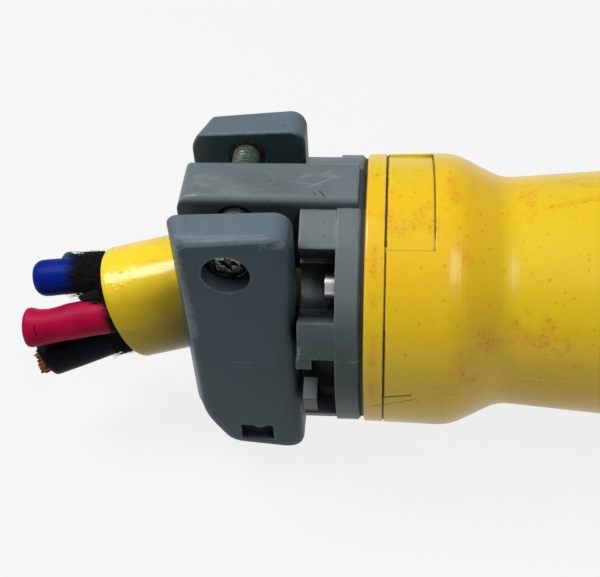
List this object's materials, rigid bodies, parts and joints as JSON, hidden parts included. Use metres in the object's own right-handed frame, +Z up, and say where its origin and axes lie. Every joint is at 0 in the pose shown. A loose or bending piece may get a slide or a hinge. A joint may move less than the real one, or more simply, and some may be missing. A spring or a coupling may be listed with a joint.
{
  "type": "shore power cord",
  "caption": "Heavy pin-and-sleeve shore power plug with a locking ring, a two-jaw cable clamp and the cut end of its four-conductor cable.",
  "frame": {"origin": "centre of the plug's mouth plane", "axes": "+X leaves the mouth towards the receptacle, +Z up through the label panel and the upper clamp post, +Y from the front jaw to the back jaw"},
  "size_m": [0.3455, 0.124, 0.124],
  "materials": {
    "housing": "semi-gloss, stained",
    "clamp": "matt, scuffed",
    "jaw": "matt, scuffed",
    "stainless": "bright",
    "clamp_screw": "dull, green-grey corrosion",
    "brass": "satin",
    "contact": "polished",
    "gasket": "matt",
    "jacket": "glossy",
    "filler": "loose fibre",
    "wire_blue": "satin",
    "wire_red": "satin",
    "wire_black": "satin",
    "wire_green": "satin",
    "copper": "bare copper strand",
    "sleeve": "semi-gloss",
    "carrier": "matt",
    "ring": "matt"
  },
  "bodies": {
    "plug_body": {"housing": "housing", "clamp_half_upper": "clamp", "clamp_half_lower": "clamp", "flange_screws": "stainless", "rear_gasket": "gasket", "gland_washer": "stainless", "cable_grommet": "gasket", "cable_jacket": "jacket", "cable_filler": "filler", "wire_blue": "wire_blue", "wire_red": "wire_red", "wire_black": "wire_black", "wire_green": "wire_green", "core_blue": "copper", "core_red": "copper", "core_black": "copper", "core_green": "copper", "front_sleeve": "sleeve", "sleeve_screws": "stainless", "sleeve_seal": "gasket", "contact_carrier": "carrier", "terminal_carrier": "carrier", "carrier_screws": "stainless", "carrier_bolt": "stainless", "pin_blue": "contact", "pin_red": "contact", "pin_black": "contact", "pin_earth": "contact", "terminal_screws": "stainless", "ring_retainer": "stainless", "mating_gasket": "gasket"},
    "front_jaw": {"front_jaw": "jaw", "insert_lower": "brass"},
    "back_jaw": {"back_jaw": "jaw", "insert_upper": "brass"},
    "clamp_screw_upper": {"clamp_screw_upper": "clamp_screw"},
    "clamp_screw_lower": {"clamp_screw_lower": "clamp_screw"},
    "locking_ring": {"locking_ring": "ring"}
  },
  "joints": [
    {"name": "locking_ring_turn", "type": "hinge", "parent": "plug_body", "child": "locking_ring", "pos_m": [-0.047, 0, 0], "axis": [1, 0, 0], "range_deg": [0, 45]},
    {"name": "front_jaw_slide", "type": "slide", "parent": "plug_body", "child": "front_jaw", "axis": [0, -1, 0], "range_m": [0, 0.0035]},
    {"name": "back_jaw_slide", "type": "slide", "parent": "plug_body", "child": "back_jaw", "axis": [0, 1, 0], "range_m": [0, 0.0035]},
    {"name": "upper_screw_spin", "type": "hinge", "parent": "front_jaw", "child": "clamp_screw_upper", "pos_m": [-0.267, 0, 0.0391], "axis": [0, -1, 0], "range_deg": [0, 1590]},
    {"name": "lower_screw_spin", "type": "hinge", "parent": "back_jaw", "child": "clamp_screw_lower", "pos_m": [-0.267, 0, -0.0391], "axis": [0, 1, 0], "range_deg": [0, 1590]}
  ],
  "couplings": [
    {"joint": "back_jaw_slide", "follows": "front_jaw_slide", "ratio": 1},
    {"joint": "upper_screw_spin", "follows": "front_jaw_slide", "rad_per_m": 7915.8},
    {"joint": "lower_screw_spin", "follows": "front_jaw_slide", "rad_per_m": 7915.8}
  ]
}
